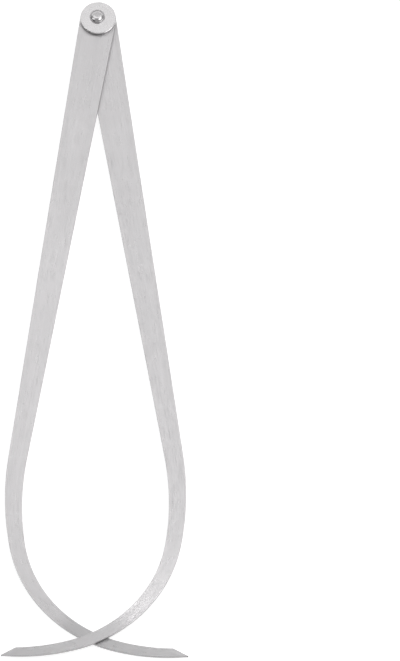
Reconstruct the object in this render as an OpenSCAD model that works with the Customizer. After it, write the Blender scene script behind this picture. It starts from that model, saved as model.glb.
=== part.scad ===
// Outside firm-joint caliper, 600 mm from the pivot to the tips.
// +Z is the pivot axis and the legs run towards -Y. The rear rivet head's crown is at z = 0.

/* [Legs] */
// Straight part of each leg, from the pivot to the start of its curve
shank_l = 420; // [340:1:510]
// Radius of the lead-in arc, on the leg's centre line
lead_r = 250; // [200:1:310]
// Angle that the lead-in arc turns through
lead_a = 18.5; // [15:0.1:23]
// Radius of the bow, on the leg's centre line
bow_r = 114; // [94:1:138]
// Angle that the bow turns through
bow_a = 64.5; // [53:0.1:78]
// Radius of the run-out arc that carries the tip, on the leg's centre line
tail_r = 170; // [140:1:210]
// Length of the run-out arc, up to the point of the tip
tail_l = 60.5; // [50:0.5:75]
// Width of each leg at the end of its straight part
neck_w = 15.5; // [12:0.1:19]
// Width of each leg at its tip, before the bevel
tip_w = 7.2; // [5.5:0.1:9]
// Length of the bevel that brings each tip to a point
tip_bevel = 12; // [8:0.5:16]
// Thickness of the steel strip
leg_t = 2.5; // [2:0.1:4]

/* [Set] */
// Distance from the pivot at which the legs start to cross over to each other's level
set_start = 160; // [140:1:200]
// Length over which they cross over
set_l = 240; // [180:1:290]

/* [Joint] */
// Diameter of the legs' round heads and of the discs that clamp them
head_d = 31; // [26:0.5:37]
// Thickness of each disc
disc_t = 3; // [2:0.1:4]
// Chamfer round each disc's outer rim
disc_chamfer = 0.5; // [0.2:0.1:0.8]
// Width of the ring at each disc's rim that bears on the leg
rim_land = 5; // [3.5:0.1:6]
// Width of the ring round the rivet that bears on the leg
hub_land = 2; // [1:0.1:3]
// Depth of the relief between those two rings
relief_h = 0.4; // [0.2:0.05:0.8]
// Diameter of the thin friction washer between the legs
washer_d = 27; // [22:0.5:30]
// Thickness of the friction washer
washer_t = 0.4; // [0.3:0.05:0.8]

/* [Rivet] */
// Diameter of the rivet's shank
rivet_d = 7; // [5.5:0.1:8.5]
// Diameter of both rivet heads
rivet_head_d = 13; // [11:0.1:15.5]
// Height of both rivet heads
rivet_head_h = 3.5; // [2.5:0.1:4.5]
// Diameter of the flat crown on each head
crown_d = 4.4; // [3.5:0.1:5.5]
// Height of the upright edge at the foot of each head
head_edge = 0.4; // [0.2:0.1:0.8]
// How far to the left of the pivot axis the front head was closed
peen_left = 0.6; // [0:0.1:1]
// How far behind the pivot axis the front head was closed
peen_back = 0.7; // [0:0.1:1]

/* [Fits] */
// Radial clearance of every hole on the rivet's shank
hole_clear = 0.05; // [0.02:0.01:0.09]
// Play between each face that turns and the face that it turns on
face_play = 0.02; // [0.01:0.01:0.05]

/* [Pose] */
// Angle between the straight parts of the two legs
open_a = 17.8; // [17:0.1:40]

/* [Hidden] */

head_r = head_d / 2;
hole_r = rivet_d / 2 + hole_clear;

// Levels of the stack on the rivet, from the rear crown up
rear_disc_z = rivet_head_h;
low_z = rear_disc_z + disc_t;
washer_z = low_z + leg_t;
high_z = washer_z + washer_t + face_play;
front_disc_z = high_z + leg_t + face_play;
front_head_z = front_disc_z + disc_t;

// The shank's edges touch the head's circle, so they lean in by this angle
taper_a = asin(head_r / norm([shank_l, neck_w / 2])) - atan2(neck_w / 2, shank_l);

// Largest turn between two points of a drawn arc
bow_step = 1.5;
head_step = 4;
dome_step = 7.5;
set_steps = 16;

// Heading h turns from -Y towards +X, and across(h) points to the inner side of the leg
function across(h) = [cos(h), sin(h)];
function arc_end(start, h, r, a) = start + r * (across(h) - across(h + a));
function mix(a, b, t) = a + (b - a) * t;
function ease(t) = (1 - cos(180 * max(0, min(1, t)))) / 2;

// The curve's arcs, each as [start, heading, radius, turn, distance along the curve]
function arc_length(r, a) = r * a * PI / 180;
tail_a = tail_l / arc_length(tail_r, 1);
lead_l = arc_length(lead_r, lead_a);
bow_l = arc_length(bow_r, bow_a);
curve_l = lead_l + bow_l + tail_l;
lead_at = [0, -shank_l];
bow_at = arc_end(lead_at, 0, lead_r, lead_a);
tail_at = arc_end(bow_at, lead_a, bow_r, bow_a);
arcs = [
    [lead_at, 0, lead_r, lead_a, 0],
    [bow_at, lead_a, bow_r, bow_a, lead_l],
    [tail_at, lead_a + bow_a, tail_r, tail_a, lead_l + bow_l]
];

// One edge of the curve, as far as the given distance along it: side is -1 outside the bow and 1 inside it
function edge(side, last) = [
    for (k = arcs)
        let (turn = min(k[3], (last - k[4]) / arc_length(k[2], 1)), steps = ceil(turn / bow_step))
            for (i = [k[4] == 0 ? 0 : 1 : steps])
                let (a = turn * i / steps, half_w = mix(neck_w, tip_w, (k[4] + arc_length(k[2], a)) / curve_l) / 2)
                    arc_end(k[0], k[1], k[2], a) + side * half_w * across(k[1] + a)
];

function reversed(list) = [for (i = [len(list) - 1 : -1 : 0]) list[i]];

// Outline of a leg whose bow bulges towards -X
module leg_outline() {
    turn = 180 + 2 * taper_a;
    steps = ceil(turn / head_step);
    head = [for (i = [0 : steps]) head_r * across(turn * i / steps - taper_a)];
    polygon(concat(head, edge(-1, curve_l), reversed(edge(1, curve_l - tip_bevel))));
}

// Side view of a leg that runs level from the head, then eases over to another level
module leg_side(from_z, to_z) {
    ends = [head_d, -2 * shank_l];
    line = concat(
        [[ends[0], from_z]],
        [for (i = [0 : set_steps]) [-set_start - set_l * i / set_steps, mix(from_z, to_z, ease(i / set_steps))]],
        [[ends[1], to_z]]
    );
    polygon(concat(line, reversed([for (p = line) p + [0, leg_t]])));
}

module leg(from_z, to_z) {
    difference() {
        intersection() {
            linear_extrude(height = front_head_z) leg_outline();
            rotate([90, 0, 90])
                linear_extrude(height = 2 * shank_l, center = true) leg_side(from_z, to_z);
        }
        cylinder(r = hole_r, h = front_head_z, $fn = 96);
    }
}

module left_leg() {
    color([0.76, 0.76, 0.77]) rotate([0, 0, -open_a / 2]) leg(high_z, low_z);
}

module right_leg() {
    color([0.72, 0.72, 0.73]) rotate([0, 0, open_a / 2]) mirror([1, 0, 0]) leg(low_z, high_z);
}

// A disc with its bearing rings at z = 0 and its chamfered face up
module disc() {
    hub_r = hole_r + hub_land;
    ring_r = head_r - rim_land;
    rotate_extrude($fn = 96)
        polygon([
            [hole_r, 0],
            [hub_r, 0],
            [hub_r, relief_h],
            [ring_r, relief_h],
            [ring_r, 0],
            [head_r, 0],
            [head_r, disc_t - disc_chamfer],
            [head_r - disc_chamfer, disc_t],
            [hole_r, disc_t]
        ]);
}

module front_disc() {
    color([0.84, 0.84, 0.85]) translate([0, 0, front_disc_z]) disc();
}

module rear_disc() {
    color([0.84, 0.84, 0.85]) translate([0, 0, low_z]) mirror([0, 0, 1]) disc();
}

module friction_washer() {
    color([0.78, 0.66, 0.36]) translate([0, 0, washer_z])
        difference() {
            cylinder(d = washer_d, h = washer_t, $fn = 96);
            translate([0, 0, -washer_t]) cylinder(r = hole_r, h = 3 * washer_t, $fn = 96);
        }
}

// Half section of a rivet head whose foot is at z = 0: upright edge, rounded shoulder, flat crown
function head_section() = [
    for (a = [0 : dome_step : 90])
        [
            mix(crown_d, rivet_head_d, cos(a)) / 2,
            mix(head_edge, rivet_head_h, sin(a))
        ]
];

// A rivet head with its foot at z = 0 and its crown up
module rivet_head() {
    rotate_extrude($fn = 96)
        polygon(concat([[0, 0], [rivet_head_d / 2, 0]], head_section(), [[0, rivet_head_h]]));
}

module rivet() {
    color([0.7, 0.7, 0.71]) union() {
        translate([-peen_left, peen_back, front_head_z]) rivet_head();
        translate([0, 0, rear_disc_z - head_edge])
            cylinder(d = rivet_d, h = front_head_z - rear_disc_z + 2 * head_edge, $fn = 96);
        translate([0, 0, rear_disc_z]) mirror([0, 0, 1]) rivet_head();
    }
}

right_leg();
rear_disc();
friction_washer();
front_disc();
rivet();
left_leg();
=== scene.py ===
import math
import bpy
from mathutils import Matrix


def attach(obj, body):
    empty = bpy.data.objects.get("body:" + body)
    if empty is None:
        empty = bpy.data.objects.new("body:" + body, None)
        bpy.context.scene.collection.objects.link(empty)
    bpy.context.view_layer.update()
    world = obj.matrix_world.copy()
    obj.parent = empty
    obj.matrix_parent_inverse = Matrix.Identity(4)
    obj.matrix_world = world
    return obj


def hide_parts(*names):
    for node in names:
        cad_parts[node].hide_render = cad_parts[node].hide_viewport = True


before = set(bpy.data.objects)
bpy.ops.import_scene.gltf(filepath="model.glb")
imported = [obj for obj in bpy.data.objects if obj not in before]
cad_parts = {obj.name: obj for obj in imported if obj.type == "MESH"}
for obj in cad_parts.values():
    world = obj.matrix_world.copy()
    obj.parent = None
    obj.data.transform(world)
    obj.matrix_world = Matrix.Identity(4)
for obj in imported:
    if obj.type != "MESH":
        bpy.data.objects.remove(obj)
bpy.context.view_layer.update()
mm = 0.001
print("frame loaded:", ", ".join(sorted(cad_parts)))


class nodeValue:  # one socket in a node tree, with Python's own maths on it
    def __init__(self, net, socket):
        self.net = net
        self.socket = socket

    def __add__(self, other):
        return self.net.maths("ADD", self, other)

    def __radd__(self, other):
        return self.net.maths("ADD", other, self)

    def __sub__(self, other):
        return self.net.maths("SUBTRACT", self, other)

    def __rsub__(self, other):
        return self.net.maths("SUBTRACT", other, self)

    def __mul__(self, other):
        return self.net.maths("MULTIPLY", self, other)

    def __rmul__(self, other):
        return self.net.maths("MULTIPLY", other, self)

    def __truediv__(self, other):
        return self.net.maths("DIVIDE", self, other)

    def __rtruediv__(self, other):
        return self.net.maths("DIVIDE", other, self)

    def __neg__(self):
        return self.net.maths("MULTIPLY", self, -1.0)


class nodeNet:  # a node tree that is written as expressions
    def __init__(self, tree):
        self.tree = tree

    def node(self, kind, settings=None, values=(), output=0):
        made = self.tree.nodes.new(kind)
        for name, setting in (settings or {}).items():
            setattr(made, name, setting)
        for name, value in (values.items() if isinstance(values, dict) else enumerate(values)):
            for one in value if isinstance(value, list) else [value]:
                if isinstance(one, nodeValue):
                    self.tree.links.new(one.socket, made.inputs[name])
                else:
                    made.inputs[name].default_value = one
        return nodeValue(self, made.outputs[output]) if made.outputs else None

    def maths(self, operation, *values):
        return self.node("ShaderNodeMath", {"operation": operation}, values)

    def vectorMaths(self, operation, *values, output=0):
        return self.node("ShaderNodeVectorMath", {"operation": operation}, values, output)

    def clamp(self, value, low, high):
        return self.maths("MINIMUM", self.maths("MAXIMUM", value, low), high)

    def vector(self, x, y, z):
        return self.node("ShaderNodeCombineXYZ", None, [x, y, z])

    def parts(self, vector):
        return [self.node("ShaderNodeSeparateXYZ", None, [vector], output) for output in range(3)]


# The joint. Levels are heights over the rear rivet head's crown, and rearLevel is the back of the right leg
jointSizes = {  # millimetres
    "radius": 15.5, "rivetRadius": 3.5, "holePlay": 0.05,
    "rearLevel": 6.5, "strip": 2.5, "washer": 0.4, "slip": 0.02, "disc": 3.0,
}
holeRadius = jointSizes["rivetRadius"] + jointSizes["holePlay"]
rearLevel = jointSizes["rearLevel"]
frontLevel = rearLevel + jointSizes["strip"] + jointSizes["washer"] + jointSizes["slip"]
frontDiscLevel = frontLevel + jointSizes["strip"] + jointSizes["slip"]

# The legs: both come from one tree, which sets out the two rails of the strip and closes it round them
legSizes = {  # millimetres and degrees
    "Head Radius": jointSizes["radius"],
    "Shank Length": 420.0,
    "Lead Radius": 250.0,
    "Lead Angle": 18.5,
    "Bow Radius": 114.0,
    "Bow Angle": 64.5,
    "Tail Radius": 170.0,
    "Tail Length": 60.5,
    "Neck Width": 15.5,
    "Tip Width": 7.2,
    "Tip Bevel": 12.0,
    "Thickness": jointSizes["strip"],
    "Hole Radius": holeRadius,
    "Edge Ease": 0.22,
    "Set Start": 160.0,
    "Set Length": 240.0,
    "Open Angle": 17.8,
}
legPlaces = {  # level at the head and at the tip in millimetres, and 1 for a bow to the left
    "left_leg": {"Head Level": frontLevel, "Tip Level": rearLevel, "Hand": 1.0},
    "right_leg": {"Head Level": rearLevel, "Tip Level": frontLevel, "Hand": -1.0},
}
legMesh = {  # counts, then the weld in millimetres and the drill's length in head radii
    "headSteps": 16, "shankSteps": 44, "curveSteps": 110, "easeSteps": 3, "holeSides": 64,
    "weld": 0.001, "drillLength": 4,
}
straightSteps = legMesh["headSteps"] + legMesh["shankSteps"]
railPoints = straightSteps + legMesh["curveSteps"] + 1
outlinePoints = 2 * railPoints


def legSockets(net):  # one leg out, and its sizes and steel in
    names = [*legSizes, *legPlaces["left_leg"]]
    for name in names:
        net.tree.interface.new_socket(name=name, in_out="INPUT", socket_type="NodeSocketFloat")
    net.tree.interface.new_socket(name="Steel", in_out="INPUT", socket_type="NodeSocketMaterial")
    net.tree.interface.new_socket(name="Leg", in_out="OUTPUT", socket_type="NodeSocketGeometry")
    given = net.tree.nodes.new("NodeGroupInput")
    return {name: nodeValue(net, given.outputs[name]) for name in [*names, "Steel"]}


def store(net, geometry, name, value, kind="FLOAT_VECTOR"):
    settings = {"data_type": kind, "domain": "POINT"}
    values = {"Geometry": geometry, "Name": name, "Value": value}
    return net.node("GeometryNodeStoreNamedAttribute", settings, values)


def stored(net, name):
    return net.node("GeometryNodeInputNamedAttribute", {"data_type": "FLOAT_VECTOR"}, {"Name": name})


def sample(net, outline, value, place):  # a value at one point of the outline, counted round and round
    settings = {"data_type": "FLOAT_VECTOR", "domain": "POINT"}
    wrapped = net.maths("FLOORED_MODULO", place, outlinePoints)
    values = {"Geometry": outline, "Value": value, "Index": wrapped}
    return net.node("GeometryNodeSampleIndex", settings, values)


def straightPart(net, size, station, side):  # the round head and the shank, whose edges leave it as tangents
    headSteps, neckHalf = legMesh["headSteps"], size["Neck Width"] / 2
    reach = net.maths("SQRT", size["Shank Length"] * size["Shank Length"] + neckHalf * neckHalf)
    lean = net.maths("ARCSINE", size["Head Radius"] / reach)
    lean = lean - net.maths("ARCTAN2", neckHalf, size["Shank Length"])
    headStep = (math.pi / 2 + lean) / (headSteps + 0.5)  # the first point is half a step from the head's top
    angle = math.pi / 2 - (net.maths("MINIMUM", station, headSteps) + 0.5) * headStep
    share = net.clamp((station - headSteps) / legMesh["shankSteps"], 0, 1)
    headX = side * size["Head Radius"] * net.maths("COSINE", angle)
    headY = size["Head Radius"] * net.maths("SINE", angle)
    x = headX * (1 - share) + side * neckHalf * share
    y = headY * (1 - share) - size["Shank Length"] * share
    return x, y


def curvedPart(net, size, station, side, x, y):  # three arcs, one after another: lead-in, bow and run-out
    neckHalf, tipHalf = size["Neck Width"] / 2, size["Tip Width"] / 2
    leadLength = size["Lead Radius"] * size["Lead Angle"]
    bowLength = size["Bow Radius"] * size["Bow Angle"]
    curveLength = leadLength + bowLength + size["Tail Length"]
    share = net.clamp((station - straightSteps) / legMesh["curveSteps"], 0, 1)
    inner = (1 + side) / 2
    distance = share * (curveLength - inner * size["Tip Bevel"])
    heading, done = 0.0, 0.0
    for radius, length in (
        (size["Lead Radius"], leadLength),
        (size["Bow Radius"], bowLength),
        (size["Tail Radius"], size["Tail Length"]),
    ):
        after = heading + net.clamp(distance - done, 0, length) / radius
        x = x + radius * (net.maths("COSINE", heading) - net.maths("COSINE", after))
        y = y + radius * (net.maths("SINE", heading) - net.maths("SINE", after))
        heading, done = after, done + length
    halfWidth = neckHalf + (tipHalf - neckHalf) * distance / curveLength
    x = x + side * (halfWidth * net.maths("COSINE", heading) - neckHalf)
    y = y + side * halfWidth * net.maths("SINE", heading)
    return x, y, distance, side * (halfWidth - neckHalf)


def outwardMitre(net, outline, index):  # how each point moves when the outline grows by one
    position = net.node("GeometryNodeInputPosition")
    before = sample(net, outline, position, index - 1)
    after = sample(net, outline, position, index + 1)
    arriving = net.vectorMaths("NORMALIZE", net.vectorMaths("SUBTRACT", position, before))
    leaving = net.vectorMaths("NORMALIZE", net.vectorMaths("SUBTRACT", after, position))
    opening = 1 + net.vectorMaths("DOT_PRODUCT", arriving, leaving, output=1)
    mitre = net.vectorMaths("CROSS_PRODUCT", net.vectorMaths("ADD", arriving, leaving), (0.0, 0.0, 1.0))
    return net.vectorMaths("DIVIDE", mitre, net.vector(opening, opening, opening))


def legOutline(net, size):  # down the outer rail from the head to the tip, then back up the inner rail
    index = net.node("GeometryNodeInputIndex")
    outer = net.maths("LESS_THAN", index, railPoints)
    side = 1 - 2 * outer
    station = outer * index + (1 - outer) * (outlinePoints - 1 - index)  # from the head on both rails
    straightX, straightY = straightPart(net, size, station, side)
    x, y, distance, widening = curvedPart(net, size, station, side, straightX, straightY)
    line = net.node("GeometryNodeMeshLine", None, {"Count": outlinePoints})
    where = net.vector(x, y, 0.0)
    outline = net.node("GeometryNodeSetPosition", None, {"Geometry": line, "Position": where})

    # The grain's own coordinates: distance along the leg and across it
    outline = store(net, outline, "flow", net.vector(distance - straightY, straightX + widening, 0.0))
    return store(net, outline, "outward", outwardMitre(net, outline, index))


# Each point of a mesh goes to its place on the outline, pulled in, turned open and lifted to its level
def placed(net, size, outline, mesh, place, inset, height, wallShare):
    position = net.node("GeometryNodeInputPosition")
    outward = sample(net, outline, stored(net, "outward"), place)
    pulled = net.vectorMaths("MULTIPLY", outward, net.vector(inset, inset, inset))
    atX, atY, _ = net.parts(net.vectorMaths("SUBTRACT", sample(net, outline, position, place), pulled))
    share = net.clamp((-atY - size["Set Start"]) / size["Set Length"], 0, 1)
    lift = (1 - net.maths("COSINE", share * math.pi)) / 2
    level = size["Head Level"] + (size["Tip Level"] - size["Head Level"]) * lift
    turn = -size["Hand"] * size["Open Angle"] / 2
    cos, sin = net.maths("COSINE", turn), net.maths("SINE", turn)
    handX = atX * size["Hand"]
    where = net.vector(handX * cos - atY * sin, handX * sin + atY * cos, level + height)
    flow = sample(net, outline, stored(net, "flow"), place)
    mesh = store(net, mesh, "flow", net.vectorMaths("ADD", flow, net.vector(0.0, 0.0, height)))
    mesh = store(net, mesh, "wall", wallShare, "FLOAT")
    return net.node("GeometryNodeSetPosition", None, {"Geometry": mesh, "Position": where})


def legShell(net, size, outline):
    index = net.node("GeometryNodeInputIndex")
    ease, easeSteps = size["Edge Ease"], legMesh["easeSteps"]

    # The wall goes round the outline, with both of its rims rounded over
    rows = 2 * easeSteps + 2
    wall = net.node("GeometryNodeMeshGrid", None, {"Vertices X": outlinePoints + 1, "Vertices Y": rows})
    column = net.maths("FLOOR", (index + 0.5) / rows)  # the half keeps it clear of rounding
    row = index - column * rows
    nearest = net.maths("MINIMUM", row, rows - 1 - row)
    bend = nearest * (math.pi / 2 / easeSteps)
    depth = ease * (1 - net.maths("COSINE", bend))
    upper = net.maths("GREATER_THAN", row, rows / 2 - 0.5)
    height = depth + upper * (size["Thickness"] - 2 * depth)
    inset = ease * (1 - net.maths("SINE", bend))
    shell = [placed(net, size, outline, wall, column, inset, height, nearest / easeSteps)]

    # Each face is a ladder of quads between the two rails
    half = net.maths("FLOOR", (index + 0.5) / 2)
    inner = index - 2 * half
    rung = half * (1 - inner) + (outlinePoints - 1 - half) * inner
    for height, up in ((size["Thickness"], True), (0.0, False)):
        face = net.node("GeometryNodeMeshGrid", None, {"Vertices X": railPoints, "Vertices Y": 2})
        face = placed(net, size, outline, face, rung, ease, height, 0.0)
        shell.append(face if up else net.node("GeometryNodeFlipFaces", None, [face]))
    shell = net.node("GeometryNodeJoinGeometry", None, [shell])
    weld = legMesh["weld"] * mm
    return net.node("GeometryNodeMergeByDistance", None, {"Geometry": shell, "Distance": weld})


def legTree():
    net = nodeNet(bpy.data.node_groups.new("legShape", "GeometryNodeTree"))
    size = legSockets(net)
    leg = legShell(net, size, legOutline(net, size))
    mirrored = net.node("GeometryNodeFlipFaces", None, [leg])
    isMirrored = net.maths("LESS_THAN", size["Hand"], 0.0)
    choice = {"Switch": isMirrored, "False": leg, "True": mirrored}
    leg = net.node("GeometryNodeSwitch", {"input_type": "GEOMETRY"}, choice)
    drill = net.node("GeometryNodeMeshCylinder", None, {
        "Vertices": legMesh["holeSides"], "Radius": size["Hole Radius"],
        "Depth": size["Head Radius"] * legMesh["drillLength"],
    })
    drilling = {"solver": "EXACT", "operation": "DIFFERENCE"}
    leg = net.node("GeometryNodeMeshBoolean", drilling, {"Mesh 1": leg, "Mesh 2": drill})
    leg = net.node("GeometryNodeSetShadeSmooth", None, {"Geometry": leg})
    leg = net.node("GeometryNodeRealizeInstances", None, {"Geometry": leg})
    leg = net.node("GeometryNodeSetMaterial", None, {"Geometry": leg, "Material": size["Steel"]})
    net.node("NodeGroupOutput", None, {"Leg": leg})
    return net.tree


largeFaces = 100  # the greatest weight that Weighted Normal gives to large faces over small ones


def bakeModifiers(piece):  # leaves a plain mesh, with its own smooth normals, in place of the modifiers
    soft = piece.modifiers.new("normals", "WEIGHTED_NORMAL")
    soft.weight = largeFaces
    bpy.context.view_layer.update()
    evaluated = piece.evaluated_get(bpy.context.evaluated_depsgraph_get())
    mesh = bpy.data.meshes.new_from_object(evaluated)
    piece.modifiers.clear()
    piece.data = mesh
    mesh.name = piece.name


def newPiece(name):
    piece = bpy.data.objects.new(name, bpy.data.meshes.new(name))
    bpy.context.scene.collection.objects.link(piece)
    return piece


def finishPiece(piece, body, node):
    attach(piece, body)
    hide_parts(node)
    print("made", piece.name, len(piece.data.polygons), "faces")


def inTreeUnits(name, value):  # metres and radians
    if name == "Hand":
        return value
    return value * (math.radians(1) if name.endswith("Angle") else mm)


def makeLeg(tree, node, body, steel):
    piece = newPiece(node.replace("_", "-") + "-strip")
    shape = piece.modifiers.new("shape", "NODES")
    shape.node_group = tree
    values = {**legSizes, **legPlaces[node]}
    for item in tree.interface.items_tree:
        if item.name in values:
            shape[item.identifier] = inTreeUnits(item.name, values[item.name])
        elif item.name == "Steel":
            shape[item.identifier] = steel
    bakeModifiers(piece)
    finishPiece(piece, body, node)


# Turned pieces: a half section in millimetres, gone round the pivot axis
mostCut = 0.45  # how much of a side one eased corner may take


def rounded(section, radius, steps):  # a closed section with every corner eased
    eased = []
    for i, here in enumerate(section):
        before, after = section[i - 1], section[(i + 1) % len(section)]
        toBefore = [before[0] - here[0], before[1] - here[1]]
        toAfter = [after[0] - here[0], after[1] - here[1]]
        cut = min(radius, mostCut * math.hypot(*toBefore), mostCut * math.hypot(*toAfter))
        start = [here[k] + toBefore[k] / math.hypot(*toBefore) * cut for k in range(2)]
        end = [here[k] + toAfter[k] / math.hypot(*toAfter) * cut for k in range(2)]
        for step in range(steps + 1):
            t = step / steps
            shares = (1 - t) ** 2, 2 * t * (1 - t), t * t
            eased.append([shares[0] * start[k] + shares[1] * here[k] + shares[2] * end[k] for k in range(2)])
    return eased


# A point of the section is a radius, a height and, off the axis, the x and y of the middle too
def lathe(name, section, sides, closed, material):
    points, rings = [], []
    for radius, height, *middle in section:
        middleX, middleY = middle or (0, 0)
        ring = []
        for side in range(sides if radius > 0 else 1):
            angle = 2 * math.pi * side / sides
            x, y = middleX + radius * math.cos(angle), middleY + radius * math.sin(angle)
            ring.append(len(points))
            points.append((x * mm, y * mm, height * mm))
        rings.append(ring)
    faces = []
    for i in range(len(rings) if closed else len(rings) - 1):
        low, high = rings[i], rings[(i + 1) % len(rings)]
        for side in range(sides):
            after = (side + 1) % sides
            corners = [
                low[side % len(low)], low[after % len(low)],
                high[after % len(high)], high[side % len(high)],
            ]
            faces.append(list(dict.fromkeys(corners)))  # three corners where one ring is a pole
    piece = newPiece(name)
    piece.data.from_pydata(points, [], faces)
    piece.data.materials.append(material)
    piece.data.polygons.foreach_set("use_smooth", [True] * len(faces))
    bakeModifiers(piece)
    return piece


discSizes = {  # millimetres, then counts
    "radius": jointSizes["radius"], "thickness": jointSizes["disc"], "chamfer": 0.5,
    "hubLand": 2.0, "rimLand": 5.0, "relief": 0.4, "edgeEase": 0.12,
    "easeSteps": 3, "sides": 160,
}


def makeDisc(name, node, level, up, steel):
    d = discSizes
    hub, ring = holeRadius + d["hubLand"], d["radius"] - d["rimLand"]
    section = [
        [holeRadius, 0], [hub, 0], [hub, d["relief"]], [ring, d["relief"]], [ring, 0],
        [d["radius"], 0], [d["radius"], d["thickness"] - d["chamfer"]],
        [d["radius"] - d["chamfer"], d["thickness"]], [holeRadius, d["thickness"]],
    ]
    eased = rounded(section, d["edgeEase"], d["easeSteps"])
    levelled = [[r, level + (z if up else -z)] for r, z in (eased if up else reversed(eased))]
    piece = lathe(name, levelled, d["sides"], True, steel)
    finishPiece(piece, "right_side", node)


rivetSizes = {  # millimetres, then counts; the front head was closed a little left of the axis and behind it
    "shankRadius": jointSizes["rivetRadius"], "headRadius": 6.5, "headHeight": 3.5, "crownRadius": 2.2,
    "footEdge": 0.4, "peenX": -0.6, "peenY": 0.7,
    "rearFoot": rearLevel - jointSizes["disc"], "frontFoot": frontDiscLevel + jointSizes["disc"],
    "domeSteps": 24, "sides": 128,
}
crownRings = (0.5, 0.0)  # rings on the flat crown, as shares of its radius


def makeRivet(steel):
    d = rivetSizes
    dome = [[d["headRadius"], 0]]
    for step in range(d["domeSteps"] + 1):
        angle = math.pi / 2 * step / d["domeSteps"]
        radius = d["crownRadius"] + (d["headRadius"] - d["crownRadius"]) * math.cos(angle)
        height = d["footEdge"] + (d["headHeight"] - d["footEdge"]) * math.sin(angle)
        dome.append([radius, height])
    dome += [[d["crownRadius"] * share, d["headHeight"]] for share in crownRings]
    rear = [[radius, d["rearFoot"] - height] for radius, height in reversed(dome)]
    shank = [[d["shankRadius"], d["rearFoot"]], [d["shankRadius"], d["frontFoot"]]]
    front = [[radius, d["frontFoot"] + height, d["peenX"], d["peenY"]] for radius, height in dome]
    piece = lathe("rivet-peened", rear + shank + front, d["sides"], False, steel)
    finishPiece(piece, "right_side", "rivet")


# Finishes. A pattern is a noise's waves per metre along x, y and z, then its detail and its roughness
def newMaterial(name, build):
    material = bpy.data.materials.new(name)
    material.use_nodes = True
    material.node_tree.nodes.clear()
    net = nodeNet(material.node_tree)
    net.node("ShaderNodeOutputMaterial", None, {"Surface": build(net)})
    return material


def noise(net, place, pattern):
    x, y, z, detail, roughness = pattern
    waves = net.vectorMaths("MULTIPLY", place, (x, y, z))
    return net.node("ShaderNodeTexNoise", None, {
        "Vector": waves, "Scale": 1.0, "Detail": detail, "Roughness": roughness,
    })


noiseMiddle = 0.5  # a noise goes up and down from here


def varied(middle, *swings):  # a value that each noise moves up and down by its own share
    for value, share in swings:
        middle = middle + share * (value - noiseMiddle)
    return middle


def mixColour(net, factor, low, high):  # sockets 6, 7 and 2 of a Mix node are its colours
    return net.node("ShaderNodeMix", {"data_type": "RGBA"}, {0: factor, 6: low, 7: high}, output=2)


def mottled(net, finish, *swings):  # half way between the finish's two tones, where no noise moves it
    share = net.clamp(varied(0.5, *swings), 0, 1)
    return mixColour(net, share, finish["darkTone"], finish["tone"])


def metal(net, finish, colour, roughness, height=None):
    looks = {
        "Base Color": colour, "Metallic": 1.0,
        "Roughness": net.clamp(roughness, finish["leastRoughness"], finish["mostRoughness"]),
    }
    if height:
        bump = {"Strength": finish["bumpStrength"], "Distance": finish["bumpDepth"], "Height": height}
        looks["Normal"] = net.node("ShaderNodeBump", None, bump)
    return net.node("ShaderNodeBsdfPrincipled", None, looks)


legFinish = {
    "tone": (0.596, 0.585, 0.592, 1), "darkTone": (0.518, 0.508, 0.515, 1),
    "fineTone": 0.25, "coarseTone": 0.55, "cloudTone": 0.75,
    # painted highlight: the edge tone lightens the eased rims; their polish lowers only the roughness
    "edgeHighlightTone": (0.73, 0.72, 0.725, 1), "edgeHighlightShare": 0.6, "edgePolish": 0.08,
    # painted shade: the wall tone darkens the legs' side walls
    "wallShadeTone": (0.36, 0.354, 0.358, 1), "wallShare": 0.6,
    # painted shade: the next two lines darken a band of each leg round the crossing, where one leg shades
    # the other
    "crossingShadeTone": (0.405, 0.40, 0.405, 1), "crossingShadeShare": 0.7,
    "crossingShadeAt": 636 * mm, "crossingShadeCore": 42 * mm, "crossingShadeEnd": 66 * mm,
    "fine": (60, 4200, 4200, 3, 0.5), "coarse": (14, 900, 900, 2, 0.5),
    "cloud": (14, 70, 70, 3, 0.5), "handled": (90, 160, 160, 4, 0.6),
    "roughness": 0.29, "fineRoughness": 0.08, "handledRoughness": 0.06,
    "leastRoughness": 0.12, "mostRoughness": 0.6,
    "bumpDepth": 0.20 * mm, "bumpStrength": 1.0, "fineBump": 0.85, "coarseBump": 0.15,
}


def groundSteel(net):  # belt-ground strip, with grain along the leg and a band darkened as painted shade where the legs cross
    f = legFinish
    flow = net.node("ShaderNodeAttribute", {"attribute_name": "flow"}, output="Vector")
    fine, coarse = noise(net, flow, f["fine"]), noise(net, flow, f["coarse"])
    cloud, handled = noise(net, flow, f["cloud"]), noise(net, flow, f["handled"])
    colour = mottled(net, f, (coarse, f["coarseTone"]), (cloud, f["cloudTone"]), (fine, f["fineTone"]))
    # Painted shade: a band round the crossing is darkened, as if the other leg shaded it
    away = net.maths("ABSOLUTE", net.parts(flow)[0] - f["crossingShadeAt"])
    crossingShade = net.node("ShaderNodeMapRange", {"interpolation_type": "SMOOTHSTEP"}, {
        "Value": away, "From Min": f["crossingShadeEnd"], "From Max": f["crossingShadeCore"],
    })
    colour = mixColour(net, crossingShade * f["crossingShadeShare"], colour, f["crossingShadeTone"])

    # The wall attribute is 0 on a face and 1 on a wall, so an eased rim lies between; the walls are darkened
    # as painted shade
    wall = net.node("ShaderNodeAttribute", {"attribute_name": "wall"}, output="Fac")
    edge = net.maths("SINE", wall * math.pi)
    colour = mixColour(net, net.clamp(2 * wall - 1, 0, 1) * f["wallShare"], colour, f["wallShadeTone"])
    # Painted highlight: the eased rims are lightened
    colour = mixColour(net, edge * f["edgeHighlightShare"], colour, f["edgeHighlightTone"])
    roughness = varied(f["roughness"], (fine, f["fineRoughness"]), (handled, f["handledRoughness"]))
    height = f["fineBump"] * fine + f["coarseBump"] * coarse
    return metal(net, f, colour, roughness - f["edgePolish"] * edge, height)


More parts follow.
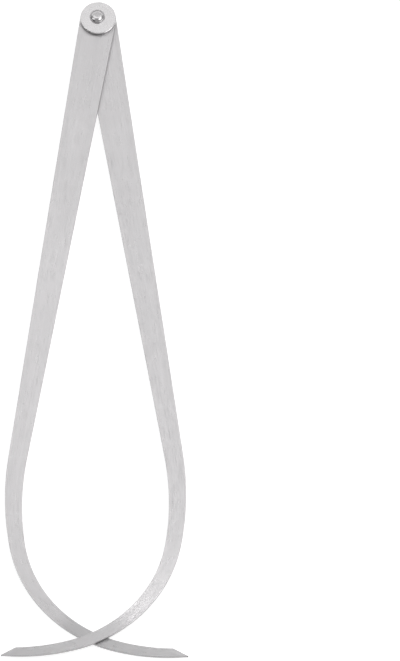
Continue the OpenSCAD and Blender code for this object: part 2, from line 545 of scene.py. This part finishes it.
discFinish = {
    "tone": (0.694, 0.682, 0.689, 1), "darkTone": (0.624, 0.613, 0.62, 1),
    "broadTone": 0.4, "cloudTone": 0.9,
    # painted shade: the wall tone darkens the discs' rim wall
    "wallShadeTone": (0.36, 0.354, 0.358, 1), "wallShare": 0.9, "wallMargin": 0.05,
    # painted glint: the chamfer tone lightens the chamfers, whose roughness is lowered as well
    "chamferGlintTone": (0.94, 0.93, 0.935, 1), "chamferRoughness": 0.10, "chamferMargin": 0.02,
    "rings": (5200, 2600, 1, 3, 0.5), "broad": (900, 900, 1, 2, 0.5), "cloud": (190, 190, 190, 4, 0.6),
    "roughness": 0.26, "ringRoughness": 0.14, "cloudRoughness": 0.1,
    "leastRoughness": 0.08, "mostRoughness": 0.6,
    "bumpDepth": 0.006 * mm, "bumpStrength": 0.45,
}


def turnedSteel(net):  # faced in the lathe, so its marks are rings; the wall is darkened as painted shade
    f, d = discFinish, discSizes
    place = net.node("ShaderNodeTexCoord", None, output="Object")
    x, y, z = net.parts(place)
    radius = net.maths("SQRT", x * x + y * y)
    turned = net.vector(radius, z, 0.0)  # alike all the way round
    rings, broad = noise(net, turned, f["rings"]), noise(net, turned, f["broad"])
    cloud = noise(net, place, f["cloud"])
    colour = mottled(net, f, (broad, f["broadTone"]), (cloud, f["cloudTone"]))
    roughness = varied(f["roughness"], (rings, f["ringRoughness"]), (cloud, f["cloudRoughness"]))

    # The wall lies between the two discs' chamfers and is darkened as painted shade; the chamfers are
    # polished smoother and lightened as a painted glint
    wallHeight = d["thickness"] - d["chamfer"] - f["wallMargin"]
    onWall = net.maths("GREATER_THAN", radius, (d["radius"] - f["wallMargin"]) * mm)
    onWall = onWall * net.maths("GREATER_THAN", z, (rearLevel - wallHeight) * mm)
    onWall = onWall * net.maths("LESS_THAN", z, (frontDiscLevel + wallHeight) * mm)
    chamferRadius = (d["radius"] - d["chamfer"] + f["chamferMargin"]) * mm
    onChamfer = net.maths("GREATER_THAN", radius, chamferRadius) * (1 - onWall)
    colour = mixColour(net, onWall * f["wallShare"], colour, f["wallShadeTone"])
    # Painted glint: the chamfers are lightened
    colour = mixColour(net, onChamfer, colour, f["chamferGlintTone"])
    roughness = roughness + onChamfer * (f["chamferRoughness"] - roughness)
    return metal(net, f, colour, roughness, rings)


rivetFinish = {
    "tone": (0.627, 0.616, 0.623, 1), "darkTone": (0.506, 0.497, 0.503, 1),
    "dentTone": 1.2, "scuffTone": 0.5,
    "dents": (520, 520, 520, 1, 0.5), "scuffs": (2600, 2600, 2600, 3, 0.5),
    "roughness": 0.16, "scuffRoughness": 0.12, "leastRoughness": 0.1, "mostRoughness": 0.6,
    "bumpDepth": 0.05 * mm, "bumpStrength": 0.35, "dentBump": 0.8, "scuffBump": 0.06,
}


def peenedSteel(net):  # closed with a hammer, then rubbed bright
    f = rivetFinish
    place = net.node("ShaderNodeTexCoord", None, output="Object")
    dents, scuffs = noise(net, place, f["dents"]), noise(net, place, f["scuffs"])
    colour = mottled(net, f, (dents, f["dentTone"]), (scuffs, f["scuffTone"]))
    roughness = varied(f["roughness"], (scuffs, f["scuffRoughness"]))
    return metal(net, f, colour, roughness, f["dentBump"] * dents + f["scuffBump"] * scuffs)


washerFinish = {
    "tone": (0.80, 0.62, 0.30, 1), "darkTone": (0.55, 0.40, 0.18, 1), "cloud": (300, 300, 1500, 4, 0.6),
    "roughness": 0.4, "cloudRoughness": 0.2, "leastRoughness": 0.1, "mostRoughness": 0.7,
}


def rolledBrass(net):
    f = washerFinish
    cloud = noise(net, net.node("ShaderNodeTexCoord", None, output="Object"), f["cloud"])
    colour = mixColour(net, cloud, f["darkTone"], f["tone"])
    return metal(net, f, colour, varied(f["roughness"], (cloud, f["cloudRoughness"])))


def finishWasher(brass):  # it lies hidden between the legs, so the CAD node itself is kept
    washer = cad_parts["friction_washer"]
    washer.data.materials.clear()
    washer.data.materials.append(brass)


# The stand: the tool lies on its rear rivet head and on the left tip, and the floor leans to meet both
floorSizes = {"span": 30000.0, "tipDistance": 592.0, "clearance": 0.05}  # millimetres
floorFinish = {
    "tone": (0.4, 0.4, 0.4, 1), "roughness": 0.6, "gloss": 0.2, "glowTone": (1, 1, 1, 1), "glow": 0.8,
}


def plainFloor(net):  # glows a little, like a light table
    f = floorFinish
    return net.node("ShaderNodeBsdfPrincipled", None, {
        "Base Color": f["tone"], "Roughness": f["roughness"], "Specular IOR Level": f["gloss"],
        "Emission Color": f["glowTone"], "Emission Strength": f["glow"],
    })


def makeFloor():
    f = floorSizes
    slope, half = legPlaces["left_leg"]["Tip Level"] / f["tipDistance"], f["span"] / 2 * mm
    corners = [
        (x, y, -slope * y - f["clearance"] * mm)
        for x, y in ((-half, -half), (half, -half), (half, half), (-half, half))
    ]
    floor = newPiece("floor")
    floor.data.from_pydata(corners, [], [(0, 1, 2, 3)])
    floor.data.materials.append(newMaterial("paleFloor", plainFloor))


# Camera: the photograph is taken from in front and above, with a long lens
cameraSizes = {  # pixels, then degrees, then millimetres
    "photoHeight": 661, "focalPixels": 7138.0,
    "elevation": 63.45, "azimuth": 0.083,
    "sensor": 36.0, "distance": 6000.0, "aimX": 87.36, "aimY": -292.37,
    "nearest": 100.0, "farthest": 60000.0,
}


def makeCamera():
    c = cameraSizes
    camera = bpy.data.objects.new("camera", bpy.data.cameras.new("camera"))
    bpy.context.scene.collection.objects.link(camera)
    camera.data.sensor_width = c["sensor"]
    camera.data.lens = c["focalPixels"] * c["sensor"] / c["photoHeight"]
    camera.data.clip_start, camera.data.clip_end = c["nearest"] * mm, c["farthest"] * mm
    turn, rise = math.radians(c["azimuth"]), math.radians(90 - c["elevation"])
    aim = (
        (c["aimX"] * math.cos(turn) + c["aimY"] * math.sin(turn)) * mm,
        (c["aimY"] * math.cos(turn) - c["aimX"] * math.sin(turn)) * mm,
        0.0,
    )
    back = (-math.sin(turn) * math.sin(rise), -math.cos(turn) * math.sin(rise), math.cos(rise))
    camera.location = [at + part * c["distance"] * mm for at, part in zip(aim, back)]
    camera.rotation_euler = (rise, 0, -turn)
    bpy.context.scene.camera = camera


# Light: a few soft boxes in a pale room, all as far from the tool's middle, with one dim corner
roomLight = {
    "tone": (1.0, 1.0, 1.0, 1), "strength": 0.46, "middle": (0.0, -280 * mm, 0.0), "distance": 2400 * mm,
    "dimSide": (-0.9, -0.42, 0.14), "dimming": 0.42, "dimEdge": 0.7, "dimCore": 0.95,
}
softBoxes = {  # elevation, azimuth, width and height in degrees as the tool sees them, and brightness
    "key": (66, -3, 24, 22, 3.6),
    "back": (66, 90, 54, 20, 0.98),
    "backLow": (38, 90, 90, 28, 0.6),
    "left": (44, 184, 20, 46, 1.1),
    "lowRight": (18, -34, 46, 14, 1.3),
}


def roomStrength(net):  # the room's own light in each direction
    r = roomLight
    direction = net.node("ShaderNodeTexCoord", None, output="Generated")
    facing = net.vectorMaths("DOT_PRODUCT", direction, r["dimSide"], output=1)
    dim = net.node("ShaderNodeMapRange", {"interpolation_type": "SMOOTHSTEP"}, {
        "Value": facing, "From Min": r["dimEdge"], "From Max": r["dimCore"],
    })
    return r["strength"] - r["dimming"] * dim


def makeRoom():
    world = bpy.data.worlds.new("room")
    world.use_nodes = True
    background = world.node_tree.nodes["Background"]
    background.inputs["Color"].default_value = roomLight["tone"]
    strength = roomStrength(nodeNet(world.node_tree))
    world.node_tree.links.new(strength.socket, background.inputs["Strength"])
    bpy.context.scene.world = world


def makeSoftBox(name, elevation, azimuth, wide, high, brightness):  # it faces the middle of the tool
    distance = roomLight["distance"]
    light = bpy.data.lights.new(name, "AREA")
    light.shape = "RECTANGLE"
    light.size = 2 * distance * math.tan(math.radians(wide / 2))
    light.size_y = 2 * distance * math.tan(math.radians(high / 2))
    light.energy = brightness * math.pi * light.size * light.size_y
    lamp = bpy.data.objects.new(name, light)
    bpy.context.scene.collection.objects.link(lamp)
    turn, rise = math.radians(azimuth), math.radians(elevation)
    away = (math.cos(rise) * math.cos(turn), math.cos(rise) * math.sin(turn), math.sin(rise))
    lamp.location = [middle + distance * part for middle, part in zip(roomLight["middle"], away)]
    lamp.rotation_euler = (math.pi / 2 - rise, 0, turn + math.pi / 2)


def makeLights():
    makeRoom()
    for name, box in softBoxes.items():
        makeSoftBox(name, *box)


bpy.context.scene.view_settings.view_transform = "Standard"
makeCamera()
makeLights()
makeFloor()
print("camera, lights and floor placed")

legSteel = newMaterial("legSteel", groundSteel)
discSteel = newMaterial("discSteel", turnedSteel)
rivetSteel = newMaterial("rivetSteel", peenedSteel)
washerBrass = newMaterial("washerBrass", rolledBrass)
print("finishes made")

legShape = legTree()
makeLeg(legShape, "right_leg", "right_side", legSteel)
makeLeg(legShape, "left_leg", "left_side", legSteel)
makeDisc("front-disc-turned", "front_disc", frontDiscLevel, True, discSteel)
makeDisc("rear-disc-turned", "rear_disc", rearLevel, False, discSteel)
makeRivet(rivetSteel)
finishWasher(washerBrass)
